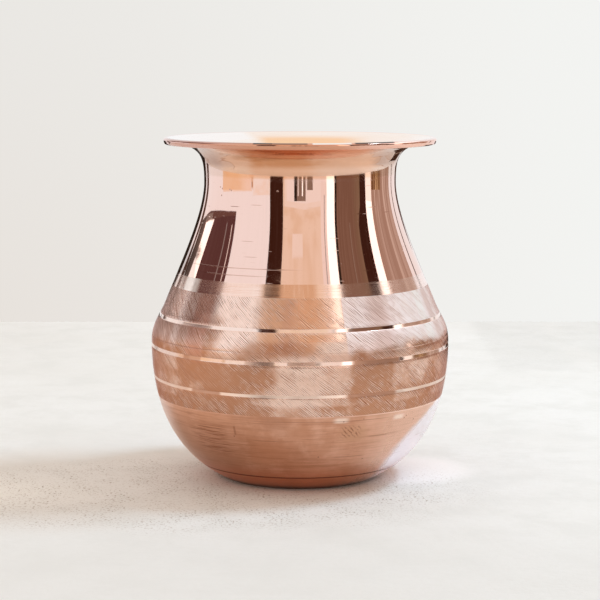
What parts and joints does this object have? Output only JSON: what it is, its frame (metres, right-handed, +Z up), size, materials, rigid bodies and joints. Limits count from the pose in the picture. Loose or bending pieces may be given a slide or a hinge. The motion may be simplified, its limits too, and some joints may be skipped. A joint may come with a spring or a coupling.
{
  "type": "lota",
  "caption": "Round-bellied copper water pot with a narrow neck and a wide flared lip curled over a wire, on a small flat foot.",
  "frame": {"origin": "centre of the face that the pot stands on", "axes": "+Z up along the pot's axis, from the foot to the mouth; the pot is round, so +X and +Y are free"},
  "size_m": [0.1, 0.1, 0.1135],
  "materials": {
    "satin_copper": "turned satin copper, hatched round the belly",
    "polished_copper": "mirror polished copper",
    "wire_copper": "drawn copper wire",
    "brazing_metal": "as brazed"
  },
  "bodies": {
    "root": {"bowl": "satin_copper", "shoulder_and_neck": "polished_copper", "lip_wire": "wire_copper", "seam_braze": "brazing_metal"}
  },
  "joints": []
}
